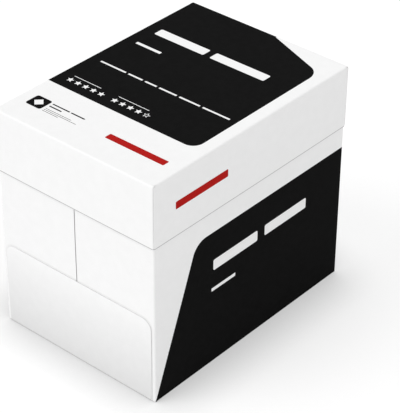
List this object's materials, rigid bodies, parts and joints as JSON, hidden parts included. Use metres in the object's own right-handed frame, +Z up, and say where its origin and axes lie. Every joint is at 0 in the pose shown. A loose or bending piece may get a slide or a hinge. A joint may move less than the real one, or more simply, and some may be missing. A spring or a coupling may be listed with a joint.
{
  "type": "copier paper carton with lift-off lid",
  "caption": "Folded board carton for copier paper: an open tray packed with wrapped reams of paper, closed by a deep lift-off lid, with plain black printed fields.",
  "frame": {"origin": "middle of the underside that the carton stands on", "axes": "+X along the carton's length, towards the end where the long side's printed field runs off the edge; +Y across the carton, away from that front long side; +Z up, the way the lid lifts"},
  "size_m": [0.309, 0.219, 0.2691],
  "materials": {
    "tray_board": "matte",
    "lid_board": "matte",
    "black_ink": "satin",
    "ream_wrapper": "matte"
  },
  "bodies": {
    "carton": {"base_tray": "tray_board", "front_print": "black_ink", "back_print": "black_ink", "ream_1": "ream_wrapper", "ream_2": "ream_wrapper", "ream_3": "ream_wrapper", "ream_4": "ream_wrapper", "ream_5": "ream_wrapper"},
    "lid": {"lid": "lid_board", "lid_print": "black_ink"}
  },
  "joints": [
    {"name": "lid_lift", "type": "slide", "parent": "carton", "child": "lid", "axis": [0, 0, 1], "range_m": [0, 0.11]}
  ]
}
